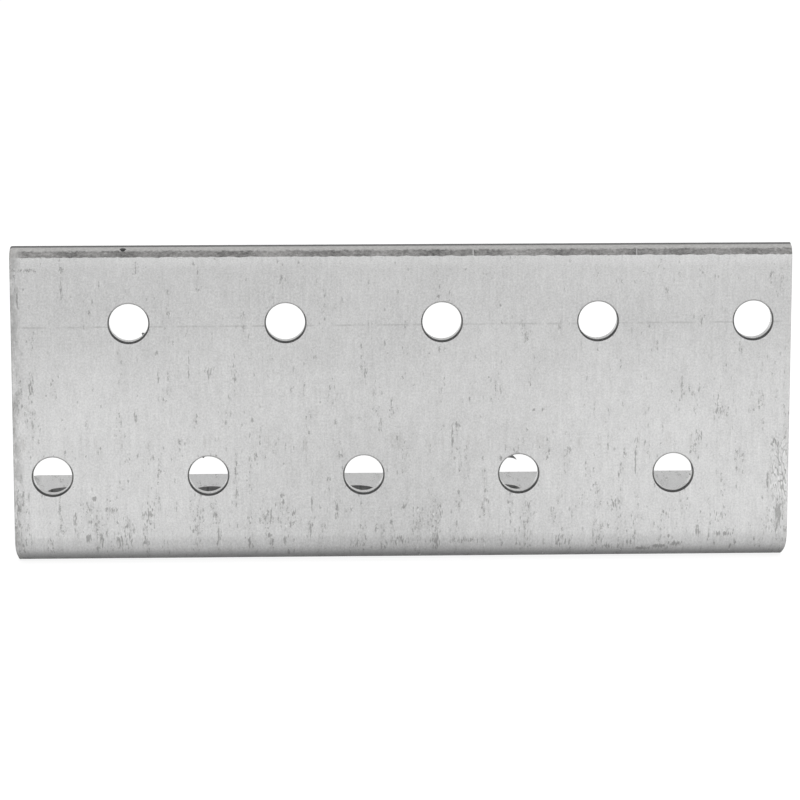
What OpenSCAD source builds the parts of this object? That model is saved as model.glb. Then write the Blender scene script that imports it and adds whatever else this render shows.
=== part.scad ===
// Angle bracket: a punched strip of zinc-coated steel, folded once along its middle.
// X runs along the fold, Z is up, and the upright flange faces -Y.

/* [Sheet] */
// Length of the bracket along the fold
bracket_length = 100; // [60:1:200]
// Width of the flat strip before it is folded
strip_width = 79.7; // [70:0.1:140]
// Thickness of the sheet
sheet_thick = 2; // [1.6:0.1:3]
// Radius of the four free corners
corner_radius = 0.5; // [0.2:0.1:2]

/* [Fold] */
// Radius on the inside of the fold
fold_radius = 2; // [1:0.1:4]
// Depth of the layer that keeps its length in the fold, as a share of the thickness
neutral_share = 0.4; // [0.3:0.01:0.5]

/* [Screw holes] */
// Diameter of a screw hole
hole_diameter = 5; // [3:0.1:6]
// Distance between holes in a row
hole_pitch = 20; // [14:1:30]
// Distance between rows on the flat strip
row_pitch = 20; // [16:1:30]
// Distance from an end to the middle of the nearest hole
end_margin = 5; // [4:0.5:10]
// Step along the strip from one row to the next
row_step = 10; // [7:0.5:15]
// Radius that the punch rolls in around a hole on the outer face
rim_radius = 0.2; // [0.1:0.05:0.4]

/* [Sheared edges] */
// Fall across the smooth part of a long cut edge
smooth_fall = 0.35; // [0.1:0.05:0.6]
// Fall across the torn part of a long cut edge
torn_fall = 0.85; // [0.2:0.05:1.2]
// Depth of the torn part into the sheet from the outer face
torn_depth = 0.6; // [0.2:0.05:1]

/* [Hidden] */
right_angle = 90;
arc_steps = 96;
cut_reach = 1;
zinc_colour = [0.80, 0.80, 0.79];
outer_radius = fold_radius + sheet_thick;
fold_length = PI / 2 * (fold_radius + neutral_share * sheet_thick);
flat_width = (strip_width - fold_length) / 2;
flange_width = outer_radius + flat_width;
hole_radius = hole_diameter / 2;
count_slack = 0.001;
rows_per_flange = floor((strip_width / 2 - hole_diameter) / row_pitch + 0.5 + count_slack);

// Distance of a row from the bracket's outer corner, counted from the fold outwards
function row_place(row) = outer_radius + (row + 0.5) * row_pitch - fold_length / 2;

// Distance of a row's first hole from the left end: neighbouring rows are staggered
function row_start(shifted) = end_margin + (shifted ? row_step : 0);

// Number of the last hole in a row that starts at a given distance, counted from 0
function last_hole(start) = floor((bracket_length - end_margin - start) / hole_pitch + count_slack);

// One flange in section, from the outer corner to its sheared edge
module flange_section() {
  polygon([
    [0, 0],
    [sheet_thick, 0],
    [sheet_thick, flange_width],
    [torn_depth, flange_width - smooth_fall],
    [0, flange_width - smooth_fall - torn_fall],
  ]);
}

// What fills the inside of the fold, reaching from its round face into the sheet
module inside_fillet() {
  difference() {
    square(outer_radius);
    translate([outer_radius, outer_radius]) circle(r = fold_radius, $fn = arc_steps);
  }
}

// What is taken off the outside of the fold
module outside_round() {
  difference() {
    translate([-cut_reach, -cut_reach]) square(outer_radius + cut_reach);
    translate([outer_radius, outer_radius]) circle(r = outer_radius, $fn = arc_steps);
  }
}

// What rounds off a free corner, with the corner at the origin and the sheet towards +X and -Y
module corner_trim() {
  translate([0, 0, -cut_reach])
    linear_extrude(sheet_thick + 2 * cut_reach)
      difference() {
        translate([-cut_reach, -corner_radius]) square(corner_radius + cut_reach);
        translate([corner_radius, -corner_radius]) circle(r = corner_radius, $fn = arc_steps);
      }
}

// What the punch takes out: the bore, and the rolled rim on the outer face at Z = 0
module punched_hole() {
  translate([0, 0, -cut_reach])
    cylinder(r = hole_radius, h = sheet_thick + 2 * cut_reach, $fn = arc_steps);
  rotate_extrude($fn = arc_steps)
    difference() {
      translate([0, -cut_reach]) square([hole_radius + rim_radius, rim_radius + cut_reach]);
      translate([hole_radius + rim_radius, rim_radius]) circle(r = rim_radius, $fn = arc_steps);
    }
}

// Everything cut out of one flange, laid flat: X along the fold, Y away from it, outer face at Z = 0
module flange_cuts(first_shifted) {
  for (row = [0 : rows_per_flange - 1]) {
    start = row_start((row % 2 == 0) == first_shifted);
    for (hole = [0 : last_hole(start)])
      translate([start + hole * hole_pitch, row_place(row), 0]) punched_hole();
  }
  translate([0, flange_width, 0]) corner_trim();
  translate([bracket_length, flange_width, 0]) mirror([1, 0, 0]) corner_trim();
}

// A section drawn in Y and Z, run along the fold and past both ends by a given reach
module along_fold(reach = 0) {
  translate([-reach, 0, 0])
    rotate([right_angle, 0, right_angle])
      linear_extrude(bracket_length + 2 * reach) children();
}

// The whole bracket, with its outer corner on the X axis and its left end at X = 0
module folded_sheet() {
  difference() {
    union() {
      along_fold() flange_section();
      along_fold() mirror([1, -1]) flange_section();
      along_fold() inside_fillet();
    }
    along_fold(cut_reach) outside_round();
    flange_cuts(first_shifted = true);
    rotate([right_angle, 0, 0]) mirror([0, 0, 1]) flange_cuts(first_shifted = false);
  }
}

module angle_bracket() {
  color(zinc_colour)
    translate([-bracket_length / 2, -flange_width / 2, 0]) folded_sheet();
}

angle_bracket();
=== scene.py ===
"""Angle bracket: a strip of zinc-coated steel, punched in four staggered rows and folded once."""
from math import cos, log, pi, radians, sin

import bpy
from mathutils import Matrix, Vector


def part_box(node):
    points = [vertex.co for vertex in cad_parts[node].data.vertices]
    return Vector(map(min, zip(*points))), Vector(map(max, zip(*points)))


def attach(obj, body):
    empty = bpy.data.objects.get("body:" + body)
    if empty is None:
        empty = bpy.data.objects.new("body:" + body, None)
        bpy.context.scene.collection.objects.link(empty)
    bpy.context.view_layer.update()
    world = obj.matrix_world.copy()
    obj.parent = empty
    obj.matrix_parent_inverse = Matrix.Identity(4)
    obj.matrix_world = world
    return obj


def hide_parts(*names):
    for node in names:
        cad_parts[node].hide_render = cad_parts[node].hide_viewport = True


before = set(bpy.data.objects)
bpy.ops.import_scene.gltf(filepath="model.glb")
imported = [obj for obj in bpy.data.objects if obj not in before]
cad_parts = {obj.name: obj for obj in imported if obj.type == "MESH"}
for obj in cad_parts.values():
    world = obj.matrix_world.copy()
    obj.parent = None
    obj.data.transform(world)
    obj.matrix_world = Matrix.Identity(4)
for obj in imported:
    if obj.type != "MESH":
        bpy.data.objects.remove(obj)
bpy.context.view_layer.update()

MM = 0.001
NODE = "angle_bracket"
FINISH = "zinc_coated_steel"

# Driving sizes of the bracket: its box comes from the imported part, the rest from the part's source.
LOW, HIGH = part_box(NODE)
LENGTH = HIGH.x - LOW.x
FLANGE = HIGH.z - LOW.z
FRONT = LOW.y
SHEET = 2.0 * MM
FOLD_RADIUS = 2.0 * MM
NEUTRAL_SHARE = 0.4
HOLE_RADIUS = 2.5 * MM
RIM_RADIUS = 0.2 * MM
HOLE_PITCH = 20.0 * MM
ROW_PITCH = 20.0 * MM
ROW_STEP = 10.0 * MM
HOLES_IN_ROW = 5
ROWS = 4
SMOOTH_FALL = 0.35 * MM
TORN_FALL = 0.85 * MM
TORN_DEPTH = 0.6 * MM

OUTER_RADIUS = FOLD_RADIUS + SHEET
HALF_FOLD = pi / 4 * (FOLD_RADIUS + NEUTRAL_SHARE * SHEET)
FLAT_WIDTH = FLANGE - OUTER_RADIUS
HALF_STRIP = HALF_FOLD + FLAT_WIDTH
FOLD_LINE_HEIGHT = OUTER_RADIUS - HALF_FOLD

# What the tools leave on the strip: rounded corners, ends that roll in at the outer face and draw in at
# the fold, one end cut out of square, bores that widen where the slug breaks out, and torn long edges.
CORNER_LEFT = 0.35 * MM
CORNER_RIGHT = 0.06 * MM
CORNER_BASE_EXTRA = 0.50 * MM
ROLL_LEFT = 0.16 * MM
ROLL_RIGHT = 0.06 * MM
WAIST_LEFT = 0.30 * MM
WAIST_RIGHT = 0.34 * MM
WAIST_INSIDE_SHARE = 0.5
WAIST_WIDTH = 1.3 * MM
WAIST_PLACE = 1.1 * MM
WAIST_REACH = 6.0 * MM
END_SKEW = 0.20 * MM
UPRIGHT_TRIM = 0.10 * MM
BREAKOUT = 0.05 * MM
BURNISH_DEPTH = 0.95 * MM
RAGGED_EDGE = 0.34 * MM
TORN_GRAIN = 0.30 * MM
EDGE_WAVES_PER_MM = 0.75
EDGE_GRAINS_PER_MM = 2.6
EDGE_LAYERS_PER_MM = 8.0
EDGE_PATTERNS_APART = 9.0
EDGE_SEED = 4.0
TORN_WAVE_SHARE = 1.6
SMOOTH_WAVE_SHARE = 0.08
LEAF_ROOT = 0.15 * MM
LEAF_THICKNESS = 0.16 * MM
LEAF_TAPER = 0.9
LEAF_THINNING = 0.7

# Leaves of metal left in some holes: row from the top, place along it, direction from the hole's middle,
# half width, reach into the hole, lean along the rim and depth below the outer face.
LEAVES = (
    (0, -35.0 * MM, radians(-40), 0.36 * MM, 0.30 * MM, -0.10 * MM, 1.2 * MM),
    (1, 15.0 * MM, radians(122), 0.45 * MM, 0.78 * MM, -1.00 * MM, 0.45 * MM),
    (1, 35.0 * MM, radians(-15), 0.22 * MM, 0.16 * MM, 0.0 * MM, 1.35 * MM),
    (1, -25.0 * MM, radians(105), 0.34 * MM, 0.20 * MM, 0.0 * MM, 0.35 * MM),
)


class Wire:
    """One output of a node. Arithmetic on it adds Math nodes to the same tree."""

    def __init__(self, bench, socket):
        self.bench = bench
        self.socket = socket

    def output(self, name):
        return Wire(self.bench, self.socket.node.outputs[name])

    def __add__(self, other):
        return self.bench.maths("ADD", self, other)

    def __radd__(self, other):
        return self.bench.maths("ADD", other, self)

    def __sub__(self, other):
        return self.bench.maths("SUBTRACT", self, other)

    def __rsub__(self, other):
        return self.bench.maths("SUBTRACT", other, self)

    def __mul__(self, other):
        return self.bench.maths("MULTIPLY", self, other)

    def __rmul__(self, other):
        return self.bench.maths("MULTIPLY", other, self)

    def __truediv__(self, other):
        return self.bench.maths("DIVIDE", self, other)

    def __rtruediv__(self, other):
        return self.bench.maths("DIVIDE", other, self)

    def __neg__(self):
        return self.bench.maths("MULTIPLY", self, -1.0)

    def __abs__(self):
        return self.bench.maths("ABSOLUTE", self)

    def __lt__(self, other):
        return self.bench.maths("LESS_THAN", self, other)

    def __gt__(self, other):
        return self.bench.maths("GREATER_THAN", self, other)

    def sign(self):
        return self.bench.maths("SIGN", self)

    def root(self):
        return self.bench.maths("SQRT", self)

    def sine(self):
        return self.bench.maths("SINE", self)

    def cosine(self):
        return self.bench.maths("COSINE", self)

    def least(self, other):
        return self.bench.maths("MINIMUM", self, other)

    def most(self, other):
        return self.bench.maths("MAXIMUM", self, other)

    def within(self, low, high):
        return self.most(low).least(high)

    def bell(self, width):
        """1 where the value is 0, falling to nothing a few widths away."""
        share = self / width
        return self.bench.maths("EXPONENT", -(share * share))

    def rise(self, low, high):
        """0 below low and 1 above high, with a soft step between; low above high turns it round."""
        settings = {"interpolation_type": "SMOOTHSTEP"}
        sockets = {"Value": self, "From Min": low, "From Max": high}
        return self.bench.node("ShaderNodeMapRange", settings, sockets)


class Bench:
    """A node tree that is being filled."""

    def __init__(self, tree):
        self.tree = tree

    def node(self, kind, settings=None, sockets=None, output=0):
        """Adds a node: first its settings, then its sockets' values, links or lists of links."""
        made = self.tree.nodes.new(kind)
        for name, value in (settings or {}).items():
            setattr(made, name, value)
        for name, value in (sockets or {}).items():
            for one in value if isinstance(value, list) else [value]:
                if isinstance(one, Wire):
                    self.tree.links.new(one.socket, made.inputs[name])
                else:
                    made.inputs[name].default_value = one
        return Wire(self, made.outputs[output]) if made.outputs else None

    def maths(self, operation, *values):
        return self.node("ShaderNodeMath", {"operation": operation}, dict(enumerate(values)))

    def vector(self, x, y, z):
        return self.node("ShaderNodeCombineXYZ", None, {"X": x, "Y": y, "Z": z})

    def parts(self, vector):
        split = self.node("ShaderNodeSeparateXYZ", None, {"Vector": vector})
        return split.output("X"), split.output("Y"), split.output("Z")

    def noise(self, x, y, z=0.0, detail=0.0, roughness=0.7):
        """Soft noise with a grain of about 1, half of it above 0.5; flat unless z varies."""
        flat = not isinstance(z, Wire)
        settings = {"noise_dimensions": "2D" if flat else "3D"}
        sockets = {"Vector": self.vector(x, y, z), "Scale": 1.0, "Detail": detail, "Roughness": roughness}
        return self.node("ShaderNodeTexNoise", settings, sockets)

    def dots(self, x, y):
        """Scattered dots about 1 apart: how far the nearest one is, and three chances drawn for it."""
        settings = {"voronoi_dimensions": "2D", "feature": "F1"}
        sockets = {"Vector": self.vector(x, y, 0.0), "Scale": 1.0}
        found = self.node("ShaderNodeTexVoronoi", settings, sockets)
        return found, self.parts(found.output("Color"))

    def mix(self, share, first, second, blend="MIX"):
        """A colour that goes from the first to the second as the share goes from 0 to 1."""
        settings = {"data_type": "RGBA", "blend_type": blend}
        return self.node("ShaderNodeMix", settings, {0: share, 6: first, 7: second}, output=2)

    def dimmed(self, colour, shade):
        """A colour made darker or lighter by a factor."""
        return self.mix(1.0, colour, self.vector(shade, shade, shade), "MULTIPLY")


# The strip, its holes and its fold, made by one tree of geometry nodes.
STRIP_SIZES = {
    "Length": LENGTH,
    "Half strip": HALF_STRIP,
    "Flat width": FLAT_WIDTH,
    "Thickness": SHEET,
    "Half fold": HALF_FOLD,
    "Outer radius": OUTER_RADIUS,
    "Front": FRONT,
    "Corner left": CORNER_LEFT,
    "Corner right": CORNER_RIGHT,
    "Corner base extra": CORNER_BASE_EXTRA,
    "Hole radius": HOLE_RADIUS,
    "Rim radius": RIM_RADIUS,
    "Hole pitch": HOLE_PITCH,
    "Row pitch": ROW_PITCH,
    "Row step": ROW_STEP,
    "Smooth fall": SMOOTH_FALL,
    "Torn fall": TORN_FALL,
    "Torn depth": TORN_DEPTH,
    "Roll left": ROLL_LEFT,
    "Roll right": ROLL_RIGHT,
    "Waist left": WAIST_LEFT,
    "Waist right": WAIST_RIGHT,
    "End skew": END_SKEW,
    "Upright trim": UPRIGHT_TRIM,
    "Breakout": BREAKOUT,
    "Burnish depth": BURNISH_DEPTH,
    "Ragged edge": RAGGED_EDGE,
    "Torn grain": TORN_GRAIN,
    "Seed": EDGE_SEED,
}
STEPS_ALONG = 361
STEPS_ACROSS = 45
STEPS_THROUGH = 9
END_CROWDING = 0.7
FOLD_SHARE = 6 / 11
HOLE_SIDES = 80
HOLE_RINGS = 15
LEAF_STEPS = {"Vertices X": 9, "Vertices Y": 7, "Vertices Z": 3}
PUNCH_REACH = 0.5 * MM
PUNCH_LEAD = 0.003 * MM
PUNCH_TURN = 0.017
CUT_TILT = 0.96
SHARP_ANGLE = radians(9)
WELD = 0.002 * MM


def position(b):
    return b.parts(b.node("GeometryNodeInputPosition"))


def moved(b, geometry, x, y, z):
    return b.node("GeometryNodeSetPosition", None, {"Geometry": geometry, "Position": b.vector(x, y, z)})


def flat_strip(b, size):
    """The strip laid flat: X along it, Y across it from the fold line, Z into it from the outer face."""
    counts = {"Vertices X": STEPS_ALONG, "Vertices Y": STEPS_ACROSS, "Vertices Z": STEPS_THROUGH}
    block = b.node("GeometryNodeMeshCube", None, {"Size": (2.0, 2.0, 1.0), **counts})
    x, y, z = position(b)
    crowded = (x * (pi / 2)).sine() * END_CROWDING + x * (1 - END_CROWDING)
    along = size["Length"] / 2 * crowded
    span = abs(y)
    in_fold = span.least(FOLD_SHARE) / FOLD_SHARE * size["Half fold"]
    past_fold = (span - FOLD_SHARE).most(0.0) / (1 - FOLD_SHARE) * size["Flat width"]
    across = y.sign() * (in_fold + past_fold)
    level = z + 0.5
    in_torn = level.least(0.5) * 2.0 * size["Torn depth"]
    past_torn = (level - 0.5).most(0.0) * 2.0 * (size["Thickness"] - size["Torn depth"])
    return moved(b, block, along, across, in_torn + past_torn)


def punch(b, size):
    """The punch: it rolls the outer face in around the hole and breaks out wider at the inner face."""
    counts = {"Vertices": HOLE_SIDES, "Side Segments": HOLE_RINGS, "Radius": 1.0, "Depth": 1.0}
    rod = b.node("GeometryNodeMeshCylinder", {"fill_type": "NGON"}, counts)
    x, y, z = position(b)
    level = (z + 0.5) * 3.0
    rim = size["Rim radius"]
    before = (level.least(1.0) - 1.0) * PUNCH_REACH
    in_rim = (level - 1.0).within(0.0, 1.0) * rim
    past_rim = (level - 2.0).most(0.0) * (size["Thickness"] + PUNCH_REACH - rim)
    depth = before + in_rim + past_rim
    curl = rim - in_rim
    rolled = rim - (rim * rim - curl * curl).most(0.0).root()
    below = depth - size["Burnish depth"]
    broken = (below / (size["Thickness"] - size["Burnish depth"])).within(0.0, 1.0)
    radius = size["Hole radius"] + rolled + broken * size["Breakout"]
    return moved(b, rod, x * radius, y * radius, depth - PUNCH_LEAD)


def leaf(b, size, row, along, direction, half_width, reach, lean, depth):
    """One thin leaf of metal that the punch left standing inside a hole, pointed and bent a little."""
    block = b.node("GeometryNodeMeshCube", None, {"Size": (2.0, 1.0, 1.0), **LEAF_STEPS})
    x, y, z = position(b)
    out = y + 0.5
    sideways = x * half_width * (1.0 - out * LEAF_TAPER) + out * lean
    turn = -direction - sideways / size["Hole radius"]
    radius = size["Hole radius"] + LEAF_ROOT - out * (reach + LEAF_ROOT)
    middle = size["Row pitch"] * (row - (ROWS - 1) / 2)
    thinned = 1.0 - out * LEAF_THINNING
    level = depth + z * LEAF_THICKNESS * thinned + out * out * LEAF_THICKNESS
    return moved(b, block, along + radius * turn.cosine(), middle + radius * turn.sine(), level)


def punched(b, size, strip):
    """The strip with a hole at every place of the four rows, neighbouring rows staggered."""
    counts = {"Vertices X": HOLES_IN_ROW, "Vertices Y": ROWS}
    spans = {"Size X": size["Hole pitch"] * (HOLES_IN_ROW - 1), "Size Y": size["Row pitch"] * (ROWS - 1)}
    places = b.node("GeometryNodeMeshGrid", None, {**counts, **spans})
    x, y, z = position(b)
    row = b.maths("ROUND", y / size["Row pitch"] + (ROWS - 1) / 2)
    odd = b.maths("MODULO", row, 2.0)
    places = moved(b, places, x + size["Row step"] * (0.5 - odd), y, z)
    sockets = {"Points": places, "Instance": punch(b, size), "Rotation": (0.0, 0.0, PUNCH_TURN)}
    punches = b.node("GeometryNodeInstanceOnPoints", None, sockets)
    punches = b.node("GeometryNodeRealizeInstances", None, {"Geometry": punches})
    left_standing = [leaf(b, size, *place) for place in LEAVES]
    leaves = b.node("GeometryNodeJoinGeometry", None, {"Geometry": left_standing})
    settings = {"operation": "DIFFERENCE", "solver": "MANIFOLD"}
    punches = b.node("GeometryNodeMeshBoolean", settings, {"Mesh 1": punches, "Mesh 2": leaves})
    return b.node("GeometryNodeMeshBoolean", settings, {"Mesh 1": strip, "Mesh 2": punches})


def marked(b, strip):
    """Keeps every point's place on the flat strip, and which faces a tool has cut, for the finish."""
    settings = {"data_type": "FLOAT_VECTOR", "domain": "POINT"}
    place = b.node("GeometryNodeInputPosition")
    sockets = {"Geometry": strip, "Name": "strip_place", "Value": place}
    strip = b.node("GeometryNodeStoreNamedAttribute", settings, sockets)
    tilt = b.parts(b.node("GeometryNodeInputNormal"))[2]
    settings = {"data_type": "FLOAT", "domain": "FACE"}
    sockets = {"Geometry": strip, "Name": "cut_face", "Value": abs(tilt) < CUT_TILT}
    return b.node("GeometryNodeStoreNamedAttribute", settings, sockets)


def sheared(b, size, strip):
    """Long edges slope and tear, corners are rounded, and the ends roll in and draw in at the fold."""
    x, y, z = position(b)
    half_length = size["Length"] / 2
    right = x > 0.0

    def at_end(name):
        return size[name + " left"] + right * (size[name + " right"] - size[name + " left"])

    torn = ((size["Torn depth"] - z) / size["Torn depth"]).within(0.0, 1.0)
    smooth = ((size["Thickness"] - z) / (size["Thickness"] - size["Torn depth"])).within(0.0, 1.0)
    side = y.sign() * EDGE_PATTERNS_APART + size["Seed"]
    wave = b.noise(x / MM * EDGE_WAVES_PER_MM, side, detail=5.0) - 0.5
    layer = z / MM * EDGE_LAYERS_PER_MM
    grain = b.noise(x / MM * EDGE_GRAINS_PER_MM, side, layer, detail=3.0) - 0.5
    bend = at_end("Corner") + (1.0 - right) * (y > 0.0) * size["Corner base extra"]
    turn = (abs(x) - (half_length - bend)).within(0.0, bend)
    corner = bend - (bend * bend - turn * turn).most(0.0).root()
    limit = size["Half strip"] - smooth * size["Smooth fall"] - torn * size["Torn fall"] - corner
    limit = limit + wave * size["Ragged edge"] * (torn * TORN_WAVE_SHARE + SMOOTH_WAVE_SHARE)
    limit = limit - (y < 0.0) * size["Upright trim"]
    on_edge = abs(y) > size["Half strip"] - WELD
    middle = torn * (1.0 - torn) * 4.0
    across = y.sign() * abs(y).least(limit)
    roll = at_end("Roll")
    past = ((abs(x) - (half_length - roll)) / roll).within(0.0, 1.0)
    lift = roll * (1.0 - (1.0 - past * past).most(0.0).root())
    depth = (z + on_edge * middle * grain * size["Torn grain"]).most(lift)
    near_end = abs(x).rise(half_length - WAIST_REACH, half_length)
    share = z / size["Thickness"]
    waist = at_end("Waist") * (1.0 - share * (1.0 - WAIST_INSIDE_SHARE))
    skew = right * (-y / size["Half strip"]).within(0.0, 1.0) * size["End skew"]
    along = x - x.sign() * near_end * ((y - WAIST_PLACE).bell(WAIST_WIDTH) * waist + skew)
    return moved(b, strip, along, across, depth)


def folded(b, size, strip):
    """Turns the strip up along its middle: the side at -Y becomes the upright flange."""
    x, y, z = position(b)
    half_fold = size["Half fold"]
    outer = size["Outer radius"]
    turn = (y.within(-half_fold, half_fold) + half_fold) / half_fold * (pi / 4)
    radius = outer - z
    back = size["Front"] + outer - radius * turn.cosine() + (y - half_fold).most(0.0)
    up = outer - radius * turn.sine() + (-y - half_fold).most(0.0)
    return moved(b, strip, x, back, up)


def shaded(b, sheet):
    """Smooth over the fold and inside the holes, sharp at every cut edge."""
    sheet = b.node("GeometryNodeMergeByDistance", None, {"Geometry": sheet, "Distance": WELD})
    settings = {"domain": "FACE"}
    sheet = b.node("GeometryNodeSetShadeSmooth", settings, {"Geometry": sheet, "Shade Smooth": True})
    angle = b.node("GeometryNodeInputMeshEdgeAngle")
    sockets = {"Geometry": sheet, "Selection": angle > SHARP_ANGLE, "Shade Smooth": False}
    return b.node("GeometryNodeSetShadeSmooth", {"domain": "EDGE"}, sockets)


def made_mesh(name, tree, inputs):
    """A plain mesh from a tree of geometry nodes with its inputs set."""
    carrier = bpy.data.objects.new(name + "_carrier", bpy.data.meshes.new(name + "_carrier"))
    bpy.context.scene.collection.objects.link(carrier)
    modifier = carrier.modifiers.new(name, "NODES")
    modifier.node_group = tree
    for item in tree.interface.items_tree:
        if item.in_out == "INPUT":
            modifier[item.identifier] = inputs[item.name]
    ready = carrier.evaluated_get(bpy.context.evaluated_depsgraph_get())
    mesh = bpy.data.meshes.new_from_object(ready)
    carrier.modifiers.remove(modifier)
    bpy.data.objects.remove(carrier)
    mesh.name = name
    return mesh


def folded_sheet(material):
    """The whole bracket: the strip is punched, marked for its finish, sheared and folded."""
    tree = bpy.data.node_groups.new("punched_and_folded_strip", "GeometryNodeTree")
    tree.interface.new_socket(name="Sheet", in_out="OUTPUT", socket_type="NodeSocketGeometry")
    for name in STRIP_SIZES:
        tree.interface.new_socket(name=name, in_out="INPUT", socket_type="NodeSocketFloat")
    b = Bench(tree)
    entry = b.node("NodeGroupInput")
    size = {name: entry.output(name) for name in STRIP_SIZES}
    sheet = punched(b, size, flat_strip(b, size))
    sheet = sheared(b, size, marked(b, sheet))
    sheet = shaded(b, folded(b, size, sheet))
    sheet = b.node("GeometryNodeRealizeInstances", None, {"Geometry": sheet})
    sheet = b.node("GeometryNodeSetMaterial", None, {"Geometry": sheet, "Material": material})
    b.node("NodeGroupOutput", None, {"Sheet": sheet})
    return made_mesh("folded_sheet", tree, STRIP_SIZES)


# The finish, read from each point's place on the flat strip in millimetres.
ZINC_TONE = (0.62, 0.62, 0.618, 1.0)
STAIN_TONE = (0.15, 0.147, 0.142, 1.0)
SMUDGE_TONE = (0.37, 0.36, 0.345, 1.0)
BRIGHT_TONE = (0.85, 0.85, 0.85, 1.0)
RIM_TONE = (0.17, 0.17, 0.168, 1.0)
# Painted light: the rim's tone on the side of the hole away from the fold.
UPPER_RIM_TONE = (0.50, 0.50, 0.496, 1.0)
BURNISHED_TONE = (0.085, 0.085, 0.085, 1.0)
FRACTURE_TONE = (0.80, 0.80, 0.795, 1.0)
# Painted shade: the broken-out band's tone on the side of the hole near the fold.
LOWER_FRACTURE_TONE = (0.46, 0.46, 0.456, 1.0)
# Painted shade: the broken-out band's tone on the side of the hole away from the fold.
SHADED_TONE = (0.25, 0.25, 0.25, 1.0)
CUT_TONE = (0.42, 0.415, 0.408, 1.0)
TORN_TONE = (0.215, 0.212, 0.208, 1.0)
ROLLED_TONE = (0.10, 0.10, 0.10, 1.0)
# Painted shadow of the pit in the upright's cut edge.
PIT_TONE = (0.01, 0.01, 0.01, 1.0)
# Painted shade on the leaves that stand inside the holes.
LEAF_TONE = (0.13, 0.13, 0.13, 1.0)
END_TONE = (0.42, 0.41, 0.40, 1.0)
ZINC_METAL = 0.28
ZINC_ROUGHNESS = 0.5
BUMP_STRENGTH = 0.4
BUMP_DISTANCE = 0.02 * MM
HALF_LENGTH_MM = LENGTH / MM / 2
HALF_STRIP_MM = HALF_STRIP / MM
HOLE_PITCH_MM = HOLE_PITCH / MM
ROW_PITCH_MM = ROW_PITCH / MM
ROW_STEP_MM = ROW_STEP / MM
OPENING_MM = HOLE_RADIUS / MM - 0.04
SCUFF_HEIGHT = 31.45
SCUFF_SLOPE = 0.003
SCUFF_WIDTH = 0.11
SMUDGE_HEIGHT = 16.1
GOUGES_START = (47.0, 48.5)
GOUGES_HEIGHT = 11.6
GOUGES_REACH = 4.4
SLID_DEPTH = 0.34
SLID_EXTRA_NEAR_FOLD = 0.21
NICKS = (8.95, 29.85)
NICK_WIDTH = 0.07
PIT = (-35.6, 0.82)
PIT_HALF = (0.42, 0.36)

# Patterns of the finish: how many fit in a millimetre along the strip and across it, and a shift across.
# The inner face reads them further along, so that it doesn't repeat the outer one.
CRYSTALS = (4.2, 3.6, 0.0)
GRAINS = (0.6, 0.42, 0.0)
STREAKS = (2.2, 0.16, 0.0)
CLOUDS = (0.09, 0.09, 0.0)
SMEARS = (0.62, 0.13, 60.0)
SPECKS = (3.0, 1.0, 0.0)
DASHES = (1.5, 0.42, 60.0)
FLAKES = (2.4, 1.0, 20.0)
BREAKS = (5.6, 1.3, 60.0)
DIRT = (0.9, 0.35, 30.0)
INNER_FACE_SHIFT = 133.0

# How strongly each part of the finish shows.
CRYSTAL_SHARE = 0.52
GRAIN_SHARE = 0.25
STREAK_SHARE = 0.14
CLOUD_SHARE = 0.10
# Painted light and shade: darker over the upper half of the front, lighter low at its ends and darker low
# in its middle, lighter in a band below its free edge, darker inside the base and where the fold turns
# under.
UPPER_SHADE = 0.14
UPPER_SHADE_LOSS = 0.04
LOWER_LIGHT = 0.075
MIDDLE_SHADE = 0.17
LIP_LIGHT = 0.07
BASE_INSIDE_SHADE = 0.10
FOLD_SHADE = 0.86
SPECK_SHARE = 0.56
DASH_SHARE = 0.55
FLAKE_SHARE = 0.50
HAZE_SHARE = 0.05
STAIN_SHARE = 0.55
FLECK_SHARE = 0.40
GRIME_SHARE = 0.42
SMUDGE_SHARE = 0.30
SCUFF_SHARE = 0.27
GOUGE_SHARE = 0.60
RIDGE_SHARE = 0.70
NICK_SHARE = 0.45

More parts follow.
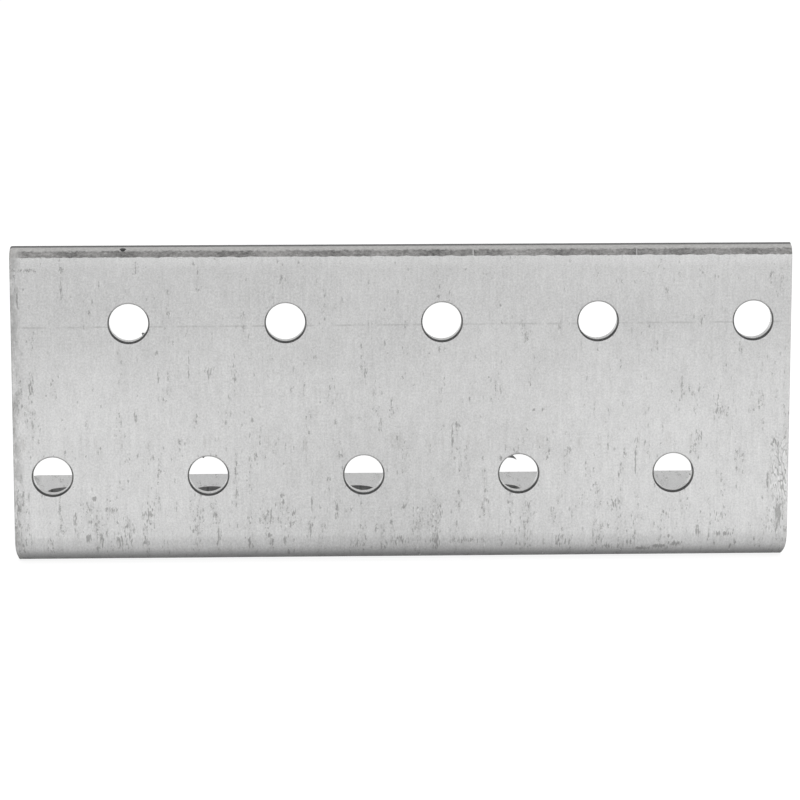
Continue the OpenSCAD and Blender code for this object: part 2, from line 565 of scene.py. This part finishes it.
# Stains on the front of the upright flange: place along it, height, half width, half height, strength.
STAINS = (
    (-49.5, 8.0, 0.30, 2.4, 0.7),
    (-49.3, 21.4, 0.30, 0.6, 0.8),
    (-49.1, 35.2, 0.25, 1.8, 0.8),
    (-48.8, 9.3, 0.15, 0.9, 1.2),
    (-47.6, 39.2, 2.00, 0.5, 0.7),
    (-47.6, 23.4, 0.42, 1.9, 0.8),
    (-43.5, 36.0, 0.22, 2.6, 0.7),
    (-43.4, 39.3, 0.35, 0.8, 0.9),
    (-42.2, 6.0, 0.22, 1.5, 1.0),
    (-39.6, 34.6, 0.14, 0.8, 0.8),
    (-39.7, 8.8, 0.28, 0.32, 1.8),
    (-40.5, 3.7, 0.45, 0.9, 0.8),
    (-38.8, 3.6, 0.30, 1.2, 0.9),
    (-36.4, 3.3, 0.80, 0.8, 0.8),
    (-33.3, 3.4, 0.45, 0.6, 0.8),
    (-39.2, 5.8, 0.18, 0.2, 1.6),
    (-35.5, 4.6, 0.90, 2.0, 0.6),
    (-34.2, 19.6, 0.30, 0.9, 0.8),
    (-34.0, 39.2, 0.50, 1.6, 0.6),
    (-32.6, 6.6, 0.80, 2.2, 0.7),
    (-31.5, 27.9, 0.18, 0.4, 1.1),
    (-31.3, 24.8, 0.22, 1.6, 0.7),
    (-27.4, 26.0, 0.14, 3.6, 0.7),
    (-26.1, 38.9, 0.16, 1.2, 0.8),
    (-24.8, 25.4, 0.60, 1.3, 0.7),
    (-23.8, 4.2, 0.14, 1.1, 1.1),
    (-21.6, 25.2, 0.35, 2.8, 0.6),
    (-19.8, 3.1, 0.20, 0.8, 1.2),
    (-17.2, 3.9, 0.25, 0.3, 1.3),
    (-17.0, 6.4, 0.16, 1.4, 1.0),
    (-15.4, 8.3, 0.22, 0.7, 0.9),
    (-15.2, 3.3, 0.25, 0.7, 0.9),
    (-14.1, 6.5, 0.45, 1.2, 0.7),
    (-11.9, 4.6, 0.22, 0.9, 1.0),
    (-11.7, 7.8, 0.13, 1.8, 1.1),
    (-8.5, 7.3, 0.28, 1.4, 0.9),
    (-6.6, 7.2, 0.16, 0.4, 0.9),
    (-6.0, 3.0, 1.40, 0.7, 0.6),
    (-4.8, 25.2, 0.25, 1.3, 0.8),
    (-0.3, 3.3, 1.30, 0.6, 0.7),
    (0.2, 7.4, 0.45, 1.1, 0.6),
    (1.4, 6.2, 0.08, 2.2, 0.8),
    (4.4, 3.0, 0.45, 1.3, 0.9),
    (4.5, 35.1, 0.20, 0.2, 1.3),
    (4.9, 6.8, 0.40, 1.8, 0.6),
    (6.4, 16.5, 0.20, 2.3, 0.9),
    (8.2, 3.2, 2.60, 0.4, 0.7),
    (12.5, 33.9, 0.18, 0.2, 1.3),
    (14.9, 3.0, 0.50, 0.5, 0.7),
    (16.4, 7.6, 0.35, 1.0, 0.7),
    (16.4, 23.5, 0.20, 1.4, 0.7),
    (16.9, 20.2, 0.16, 0.2, 1.7),
    (20.4, 3.0, 0.90, 0.8, 0.8),
    (26.6, 2.5, 0.80, 0.4, 0.8),
    (27.4, 7.8, 0.90, 1.2, 0.7),
    (30.1, 13.8, 0.14, 3.4, 1.0),
    (34.0, 6.4, 0.90, 0.8, 0.6),
    (31.2, 2.1, 1.30, 0.3, 1.1),
    (33.4, 2.4, 1.20, 0.3, 1.1),
    (35.4, 2.7, 1.00, 0.3, 1.1),
    (38.3, 4.2, 0.35, 0.7, 1.0),
    (38.3, 31.8, 0.18, 1.1, 0.9),
    (38.2, 22.8, 0.18, 1.0, 0.8),
    (38.5, 16.6, 0.15, 1.0, 1.1),
    (40.9, 19.9, 0.90, 0.9, 0.7),
    (41.2, 6.0, 1.30, 0.8, 0.6),
    (41.6, 3.7, 1.90, 0.3, 0.8),
    (47.3, 10.6, 0.16, 1.4, 1.1),
    (48.2, 15.7, 0.90, 1.0, 0.8),
    (48.8, 6.2, 0.60, 2.2, 1.0),
)


def stained(b, x, height, broken):
    """The stains of the list, solid in the middle and broken up into specks around it."""
    nearest = None
    for along, up, half_width, half_height, strength in STAINS:
        sideways = (x - along) / half_width
        upwards = (height - up) / half_height
        found = log(strength) - sideways * sideways - upwards * upwards
        nearest = found if nearest is None else nearest.most(found)
    total = b.maths("EXPONENT", nearest)
    return (total + (broken - 0.5) * 2.0).rise(0.50, 0.85) * total.rise(0.04, 0.20)


def zinc_coated_steel():
    """The finish of the whole bracket: zinc on the faces, bare steel where a tool has cut, some light and
    shade painted in.
    """
    material = bpy.data.materials.new(FINISH)
    material.use_nodes = True
    material.node_tree.nodes.clear()
    b = Bench(material.node_tree)
    place = b.node("ShaderNodeAttribute", {"attribute_name": "strip_place"}, None, output="Vector")
    cut = b.node("ShaderNodeAttribute", {"attribute_name": "cut_face"}, None, output="Fac")
    in_mm = b.node("ShaderNodeVectorMath", {"operation": "SCALE"}, {0: place, "Scale": 1 / MM})
    x, across, depth = b.parts(in_mm)
    height = FOLD_LINE_HEIGHT / MM - across
    front = depth.rise(1.0, 0.9) * across.rise(3.0, 2.0)
    base_inside = depth.rise(0.9, 1.1) * across.rise(3.0, 6.0)
    along = x + depth.rise(0.9, 1.1) * INNER_FACE_SHIFT

    def spread(pattern):
        """Where a point lies in one of the patterns of the finish."""
        per_mm_along, per_mm_across, shift = pattern
        return along * per_mm_along, across * per_mm_across + shift

    # Zinc: fine crystals, drawing marks across the fold, and slow clouds. Over them painted light and
    # shade:
    # the front is darker over its upper half, lighter low at its ends and darker low in the middle, lighter
    # in a band just below its free edge, the inside of the base is darker, and painted shade where the fold
    # turns under.
    crystal = b.noise(*spread(CRYSTALS), detail=2.0, roughness=0.8) - 0.5
    grain = b.noise(*spread(GRAINS), detail=2.0, roughness=0.9) - 0.5
    streak = b.noise(*spread(STREAKS), detail=2.0) - 0.5
    cloud = b.noise(*spread(CLOUDS), detail=1.0) - 0.5
    # Painted shade over the upper half of the front, weaker towards the right end.
    painted_upper_shade = front * height.rise(18.0, 36.0) * (x.rise(0.0, 36.0) * UPPER_SHADE_LOSS - UPPER_SHADE)
    # Painted light in a band just below the front's free edge.
    painted_lip_light = front * abs(across).rise(HALF_STRIP_MM - 2.6, HALF_STRIP_MM - 0.6) * LIP_LIGHT
    # Painted light low on the front towards its ends, painted shade low in its middle.
    painted_low_light_and_shade = front * height.rise(34.0, 6.0) * (LOWER_LIGHT - (x + 3.0).bell(21.0) * MIDDLE_SHADE)
    # All the painted light and shade together, with painted shade on the inside face of the base.
    painted_light_and_shade = painted_upper_shade + painted_lip_light + painted_low_light_and_shade - base_inside * BASE_INSIDE_SHADE
    shade = 1.0 + crystal * CRYSTAL_SHARE + grain * GRAIN_SHARE + streak * STREAK_SHARE
    shade = shade + cloud * CLOUD_SHARE + painted_light_and_shade
    # Painted shade where the fold turns under, on its outer face.
    outside = depth.rise(1.0, 0.9) * across.rise(6.0, 3.0)
    shade = shade * (1.0 - outside * across.rise(-1.2, 1.3) * FOLD_SHADE)
    colour = b.dimmed(ZINC_TONE, shade)

    # Stains: specks and short dashes gathered in upright smears, more of them near the fold and the ends.
    low = height.rise(14.0, 3.0) * 0.07 - height.rise(19.0, 29.0) * 0.06
    near_end = abs(x).rise(HALF_LENGTH_MM - 6.0, HALF_LENGTH_MM - 0.3) * 0.05
    smear = b.noise(*spread(SMEARS), detail=2.0) + low + near_end
    gathered = smear.rise(0.54, 0.72)
    sideways, upwards = spread(SPECKS)
    away, (chance, size, dark) = b.dots(sideways + crystal * 1.4, upwards + grain * 1.2)
    specks = away.rise(0.16 + size * 0.34, 0.10) * (chance + gathered * 0.62).rise(0.95, 0.99)
    specks = specks * (0.35 + dark * 0.65)
    flecks = away.rise(0.34, 0.10) * (gathered * 0.30 - chance).rise(0.10, 0.16)
    sideways, upwards = spread(DASHES)
    away, (chance, size, _) = b.dots(sideways + crystal * 0.9, upwards)
    dashes = away.rise(0.10 + size * 0.16, 0.06) * (chance + gathered * 0.40).rise(0.97, 0.99)
    flake = b.noise(*spread(FLAKES), detail=3.0) + gathered * 0.17
    flakes = flake.rise(0.75, 0.84) * FLAKE_SHARE
    loose = (specks * SPECK_SHARE).most(dashes * DASH_SHARE).most(flakes) + gathered * HAZE_SHARE
    broken = b.noise(*spread(BREAKS), detail=1.0)
    placed = stained(b, x, height, broken) * front
    stain = loose.most(placed * STAIN_SHARE)
    colour = b.mix(stain, colour, STAIN_TONE)
    colour = b.mix(flecks * FLECK_SHARE, colour, BRIGHT_TONE)

    # Grime along the left end, a row of faint smudges and one long scuff through the upper row.
    dirt = b.noise(*spread(DIRT), detail=3.0)
    grime = (-x).rise(HALF_LENGTH_MM - 1.6, HALF_LENGTH_MM - 0.2) * dirt.rise(0.36, 0.60)
    colour = b.mix(grime * GRIME_SHARE, colour, STAIN_TONE)
    ragged = (dirt - 0.5) * 1.4 + crystal * 0.6
    tall = (abs(height - SMUDGE_HEIGHT) + ragged).rise(1.20, 0.60)
    smudge = b.noise(x * 0.42, 5.0, detail=2.0).rise(0.54, 0.66) * tall * front
    colour = b.mix(smudge * broken.rise(0.30, 0.60) * SMUDGE_SHARE, colour, SMUDGE_TONE)
    gap = b.noise(x * 0.35, 8.0, detail=2.0).rise(0.36, 0.58)
    scuff = (height - SCUFF_HEIGHT - x * SCUFF_SLOPE).bell(SCUFF_WIDTH) * gap * front
    colour = b.mix(scuff * SCUFF_SHARE, colour, STAIN_TONE)

    # Gouges by the right end: thin dark lines, each with a bright one beside it.
    ridge = b.noise(x * 1.9 + height * 0.25, height * 0.45 - x * 0.3, detail=1.0)
    knocked = x.rise(*GOUGES_START) * (height - GOUGES_HEIGHT).bell(GOUGES_REACH) * front
    gouge = abs(ridge - 0.48).rise(0.050, 0.01) * knocked
    colour = b.mix(gouge * GOUGE_SHARE, colour, STAIN_TONE)
    raised = abs(ridge - 0.57).rise(0.045, 0.01) * knocked
    colour = b.mix(raised * RIDGE_SHARE, colour, BRIGHT_TONE)

    # Bores: a dark band where the punch slid, deeper on the side near the fold, then a light one where the
    # slug broke out. Around the hole both bands carry painted light and shade: the rim is painted lighter
    # on the side away from the fold and darkest on the side near it, and the broken-out band has painted
    # shade on the side away from the fold and is painted darker on the side near it.
    from_row = b.maths("MODULO", abs(across), ROW_PITCH_MM) - ROW_PITCH_MM / 2
    rough = b.noise(x * 2.5, across, depth * 3.0, detail=2.0) - 0.5
    rim = b.mix(from_row.rise(0.6, 2.2), RIM_TONE, UPPER_RIM_TONE)
    rim = b.mix(from_row.rise(-0.3, -1.9), rim, BURNISHED_TONE)
    broken_out = b.mix(from_row.rise(0.2, 1.6), FRACTURE_TONE, SHADED_TONE)
    broken_out = b.mix(from_row.rise(-1.0, -2.1), broken_out, LOWER_FRACTURE_TONE)
    slid = SLID_DEPTH + from_row.rise(0.0, -1.9) * SLID_EXTRA_NEAR_FOLD
    fractured = (depth + rough * 0.12 - slid).rise(-0.06, 0.07)
    bore = b.mix(fractured, rim, broken_out)

    # Long edges: rolled at the inner face, then cut smooth, then torn down to the outer face.
    long_edge = abs(across).rise(HALF_STRIP_MM - 0.3, HALF_STRIP_MM - 0.2)
    tear = b.noise(x * 1.5, depth * 5.0, detail=4.0, roughness=0.8) - 0.5
    inboard = (-x).rise(HALF_LENGTH_MM - 0.6, HALF_LENGTH_MM - 1.9)
    torn = (depth + tear * 0.3).rise(0.60, 0.42) * inboard
    upright = across < 0.0
    rolled = (depth + rough * 0.10).rise(1.40, 1.55) * inboard.most(upright)
    torn_shade = 1.0 + tear * 2.2 + (b.noise(x * 0.16, 3.0, detail=1.0) - 0.5) * 1.7
    edge = b.mix(torn, CUT_TONE, b.dimmed(TORN_TONE, torn_shade))
    edge = b.mix(rolled, edge, ROLLED_TONE)
    for nick in NICKS:
        edge = b.mix((x - nick).bell(NICK_WIDTH) * torn * upright * NICK_SHARE, edge, BRIGHT_TONE)
    # A pit in the upright's cut edge: a painted shadow, near black, with no hollow in the geometry.
    pit_along = (x - PIT[0]) / PIT_HALF[0]
    pit_through = (depth - PIT[1]) / PIT_HALF[1]
    pit = (pit_along * pit_along + pit_through * pit_through).rise(1.1, 0.8) * upright
    edge = b.mix(pit, edge, PIT_TONE)
    end_face = abs(x).rise(HALF_LENGTH_MM - 0.06, HALF_LENGTH_MM - 0.02)
    cut_colour = b.mix(long_edge, bore, edge)
    cut_colour = b.mix(end_face, cut_colour, END_TONE)
    colour = b.mix(cut, colour, b.dimmed(cut_colour, 1.0 + rough * 0.8))

    # Leaves: whatever stands inside the opening of a hole gets a painted shade, dark like the hole around
    # it.
    row = b.maths("ROUND", across / ROW_PITCH_MM + (ROWS - 1) / 2)
    shift = ROW_STEP_MM * (0.5 - b.maths("MODULO", row, 2.0))
    from_hole = b.maths("WRAP", x - shift, HOLE_PITCH_MM / 2, -HOLE_PITCH_MM / 2)
    standing = (from_hole * from_hole + from_row * from_row).root() < OPENING_MM
    colour = b.mix(standing, colour, LEAF_TONE)

    # Gloss and relief: bores are dull where the punch slid and shiny where the slug broke out.
    in_bore = cut * (1.0 - long_edge) * (1.0 - end_face)
    roughness = ZINC_ROUGHNESS + grain * 0.3 + stain * 0.2 + cut * 0.1
    roughness = roughness + in_bore * (0.35 - fractured * 0.65)
    relief = crystal * 0.5 + streak * 0.4 + cut * rough * 1.2
    sockets = {"Strength": BUMP_STRENGTH, "Distance": BUMP_DISTANCE, "Height": relief}
    bump = b.node("ShaderNodeBump", None, sockets)
    sockets = {"Base Color": colour, "Metallic": ZINC_METAL, "Roughness": roughness, "Normal": bump}
    surface = b.node("ShaderNodeBsdfPrincipled", None, sockets)
    b.node("ShaderNodeOutputMaterial", None, {"Surface": surface})
    return material


# Floor, light and camera.
FLOOR_SIDE = 6.0
FLOOR_TONE = (0.27, 0.27, 0.27, 1.0)
FLOOR_GLOW = 0.86
WORLD_LIGHT = 0.60
IMAGE_SIDE = 800
SENSOR_WIDTH = 36.0
FOCAL_PIXELS = 3700.5
CAMERA_TARGET = Vector((-0.36 * MM, FRONT, 21.597 * MM))
CAMERA_DISTANCE = 475.0 * MM
CAMERA_AZIMUTH = radians(-2.3)
CAMERA_ELEVATION = radians(12.404)
CAMERA_ROLL = radians(0.111)
CAMERA_NEAR = 0.01
MIDDLE = Vector((0.0, 0.0, FLANGE / 2))
SOFTBOX_SIDE = 0.8
FRONT_SOFTBOX = Vector((0.0, -0.95, 0.22))
FRONT_SOFTBOX_POWER = 5.45
TOP_SOFTBOX = Vector((0.05, 0.15, 0.95))
TOP_SOFTBOX_POWER = 1.5


def seen_directly(b):
    """1 for rays that show the background itself, straight, mirrored or through glass."""
    path = b.node("ShaderNodeLightPath")
    mirrored = path.output("Is Glossy Ray").most(path.output("Is Transmission Ray"))
    return path.output("Is Camera Ray").most(mirrored)


def floor():
    """A wide white floor that shows the bracket's shadow."""
    mesh = bpy.data.meshes.new("floor")
    half = FLOOR_SIDE / 2
    corners = [(-half, -half, 0.0), (half, -half, 0.0), (half, half, 0.0), (-half, half, 0.0)]
    mesh.from_pydata(corners, [], [(0, 1, 2, 3)])
    material = bpy.data.materials.new("white_floor")
    material.use_nodes = True
    material.node_tree.nodes.clear()
    b = Bench(material.node_tree)
    matt = b.node("ShaderNodeBsdfDiffuse", None, {"Color": FLOOR_TONE})
    glow = b.node("ShaderNodeEmission", None, {"Strength": seen_directly(b) * FLOOR_GLOW})
    surface = b.node("ShaderNodeAddShader", None, {0: matt, 1: glow})
    b.node("ShaderNodeOutputMaterial", None, {"Surface": surface})
    mesh.materials.append(material)
    plane = bpy.data.objects.new("floor", mesh)
    bpy.context.scene.collection.objects.link(plane)
    return plane


def white_surroundings():
    """A world that is plain white to look at and lights the bracket more softly."""
    world = bpy.data.worlds.new("white_surroundings")
    world.use_nodes = True
    world.node_tree.nodes.clear()
    b = Bench(world.node_tree)
    strength = WORLD_LIGHT + seen_directly(b) * (1.0 - WORLD_LIGHT)
    sky = b.node("ShaderNodeBackground", None, {"Color": (1.0, 1.0, 1.0, 1.0), "Strength": strength})
    b.node("ShaderNodeOutputWorld", None, {"Surface": sky})
    bpy.context.scene.world = world


def softbox(name, place, power):
    """A square lamp that faces the middle of the bracket."""
    lamp = bpy.data.lights.new(name, "AREA")
    lamp.shape = "SQUARE"
    lamp.size = SOFTBOX_SIDE
    lamp.energy = power
    holder = bpy.data.objects.new(name, lamp)
    holder.location = place
    holder.rotation_mode = "QUATERNION"
    holder.rotation_quaternion = (MIDDLE - place).to_track_quat("-Z", "Y")
    bpy.context.scene.collection.objects.link(holder)


def camera():
    """The photograph's view: from the front, a little from the left and from above."""
    lens = bpy.data.cameras.new("camera")
    lens.sensor_width = SENSOR_WIDTH
    lens.lens = FOCAL_PIXELS / IMAGE_SIDE * SENSOR_WIDTH
    lens.clip_start = CAMERA_NEAR
    holder = bpy.data.objects.new("camera", lens)
    level = cos(CAMERA_ELEVATION)
    back = Vector((sin(CAMERA_AZIMUTH) * level, -cos(CAMERA_AZIMUTH) * level, sin(CAMERA_ELEVATION)))
    turn = Matrix.Rotation(CAMERA_AZIMUTH, 3, "Z")
    tilt = Matrix.Rotation(pi / 2 - CAMERA_ELEVATION, 3, "X")
    roll = Matrix.Rotation(CAMERA_ROLL, 3, "Z")
    holder.location = CAMERA_TARGET + back * CAMERA_DISTANCE
    holder.rotation_mode = "QUATERNION"
    holder.rotation_quaternion = (turn @ tilt @ roll).to_quaternion()
    bpy.context.scene.collection.objects.link(holder)
    bpy.context.scene.camera = holder


bpy.context.scene.view_settings.view_transform = "Standard"
camera()
white_surroundings()
floor()
softbox("front_softbox", FRONT_SOFTBOX, FRONT_SOFTBOX_POWER)
softbox("top_softbox", TOP_SOFTBOX, TOP_SOFTBOX_POWER)

bracket = bpy.data.objects.new("folded_sheet", folded_sheet(zinc_coated_steel()))
bpy.context.scene.collection.objects.link(bracket)
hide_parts(NODE)
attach(bracket, "root")
